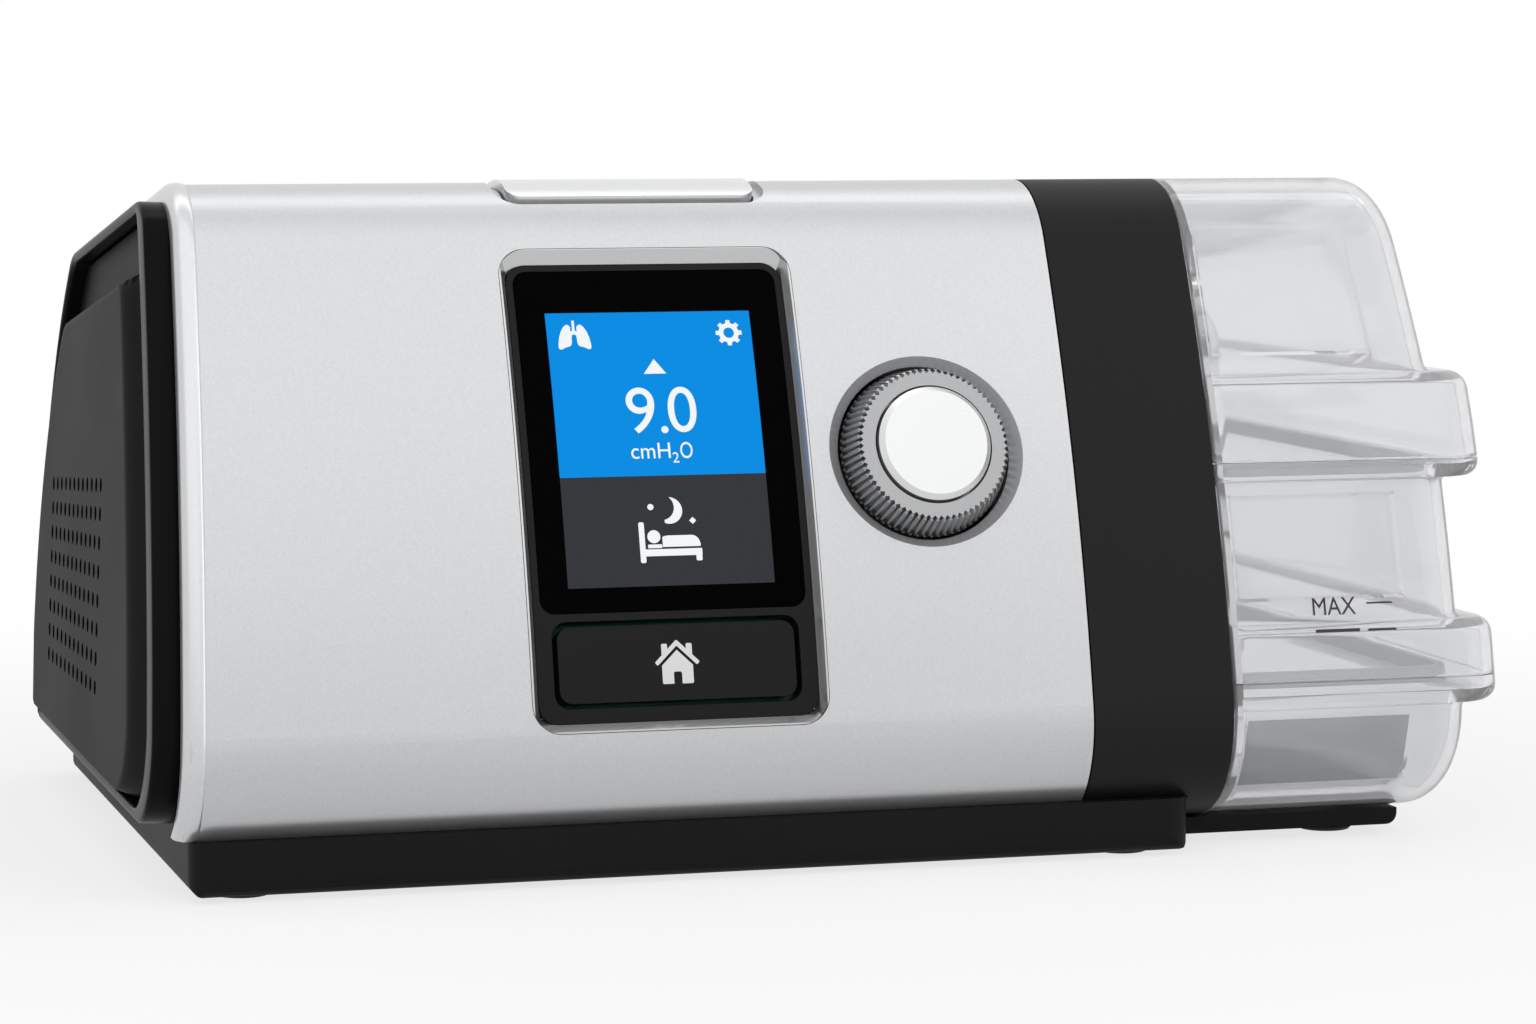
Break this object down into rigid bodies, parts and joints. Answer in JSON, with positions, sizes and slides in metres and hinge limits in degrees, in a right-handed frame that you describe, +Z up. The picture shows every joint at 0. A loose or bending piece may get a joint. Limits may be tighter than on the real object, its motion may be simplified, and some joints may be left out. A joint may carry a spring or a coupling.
{
  "type": "bilevel pap machine",
  "caption": "Bedside bilevel breathing machine with a colour screen, dial, start button, filter cover and a clear pull-out water tub with a hinged lid.",
  "frame": {"origin": "centre of the underside: middle of the width and depth, at the level of the feet", "axes": "+X to the user's right along the width, towards the water tub; +Y to the back; +Z up; the screen faces -Y"},
  "size_m": [0.22, 0.1571, 0.1068],
  "materials": {
    "black_plastic": "fine texture",
    "rim_black": "satin",
    "cover_black": "fine texture",
    "silver_shell": "satin silver paint",
    "silver_trim": "satin",
    "bezel_black": "satin",
    "screen_glass": "polished",
    "lcd": "lit",
    "circuit_board": "satin",
    "switch_black": "satin",
    "dial_silver": "satin metallic",
    "rubber_black": "matt",
    "steel": "satin",
    "aluminium_plate": "brushed",
    "filter_pad": "fibrous",
    "foam_grey": "open cell",
    "duct_grey": "satin",
    "wheel_white": "satin",
    "mount_red": "matt",
    "tub_clear": "clear moulded"
  },
  "bodies": {
    "housing": {"base_plinth": "black_plastic", "rubber_feet": "rubber_black", "case_screws": "steel", "front_shell": "silver_shell", "rear_housing": "black_plastic", "side_plate": "black_plastic", "side_rim": "rim_black", "air_filter": "filter_pad", "muffler_foam": "foam_grey", "humidifier_band": "black_plastic", "port_seals": "rubber_black", "heater_plate": "aluminium_plate", "screen_trim": "silver_trim", "display_bezel": "bezel_black", "display_glass": "screen_glass", "lcd_panel": "lcd", "display_board": "circuit_board", "home_switch": "switch_black", "encoder_base": "switch_black", "dial_switch": "switch_black", "dial_board": "circuit_board", "start_switch": "switch_black", "start_board": "circuit_board", "main_board": "circuit_board", "power_socket": "switch_black", "blower_base": "duct_grey", "blower_cap": "duct_grey", "blower_motor": "steel", "blower_mounts": "mount_red", "flow_tube": "duct_grey", "outlet_duct": "duct_grey", "outlet_port": "duct_grey"},
    "cover": {"filter_cover": "cover_black"},
    "home": {"home_button": "bezel_black"},
    "dial": {"dial_ring": "dial_silver"},
    "cap": {"dial_cap": "dial_silver"},
    "start": {"start_button": "silver_trim"},
    "wheel": {"impeller": "wheel_white"},
    "tub": {"tub_body": "tub_clear", "foot_seal": "rubber_black", "tub_foot": "tub_clear", "tub_heat_plate": "aluminium_plate", "tub_seal": "rubber_black", "lid_hinge_pin": "steel"},
    "lid": {"tub_lid": "tub_clear", "lid_duct": "tub_clear"}
  },
  "joints": [
    {"name": "dial_turn", "type": "hinge", "parent": "housing", "child": "dial", "pos_m": [0.0143, -0.06735, 0.0648], "axis": [0, -0.9444, 0.3287], "continuous": true},
    {"name": "cap_press", "type": "slide", "parent": "dial", "child": "cap", "axis": [0, 0.9444, -0.3287], "range_m": [0, 0.0006], "stiffness_N_per_m": 1200, "springref_m": -0.0003},
    {"name": "home_press", "type": "slide", "parent": "housing", "child": "home", "axis": [0, 0.974, -0.2268], "range_m": [0, 0.0006], "stiffness_N_per_m": 1200, "springref_m": -0.0003},
    {"name": "start_press", "type": "slide", "parent": "housing", "child": "start", "axis": [0, 0.2756, -0.9613], "range_m": [0, 0.0008], "stiffness_N_per_m": 1200, "springref_m": -0.0003},
    {"name": "blower_spin", "type": "hinge", "parent": "housing", "child": "wheel", "pos_m": [-0.0513, 0.0001, 0.0314], "axis": [0, 0, 1], "continuous": true},
    {"name": "cover_pull", "type": "slide", "parent": "housing", "child": "cover", "axis": [-0.999, 0, 0.0436], "range_m": [0, 0.02]},
    {"name": "tub_pull", "type": "slide", "parent": "housing", "child": "tub", "axis": [1, 0, 0], "range_m": [0, 0.06]},
    {"name": "lid_open", "type": "hinge", "parent": "tub", "child": "lid", "pos_m": [0.0622, 0.06283, 0.0616], "axis": [-1, 0, 0], "range_deg": [0, 100]}
  ]
}
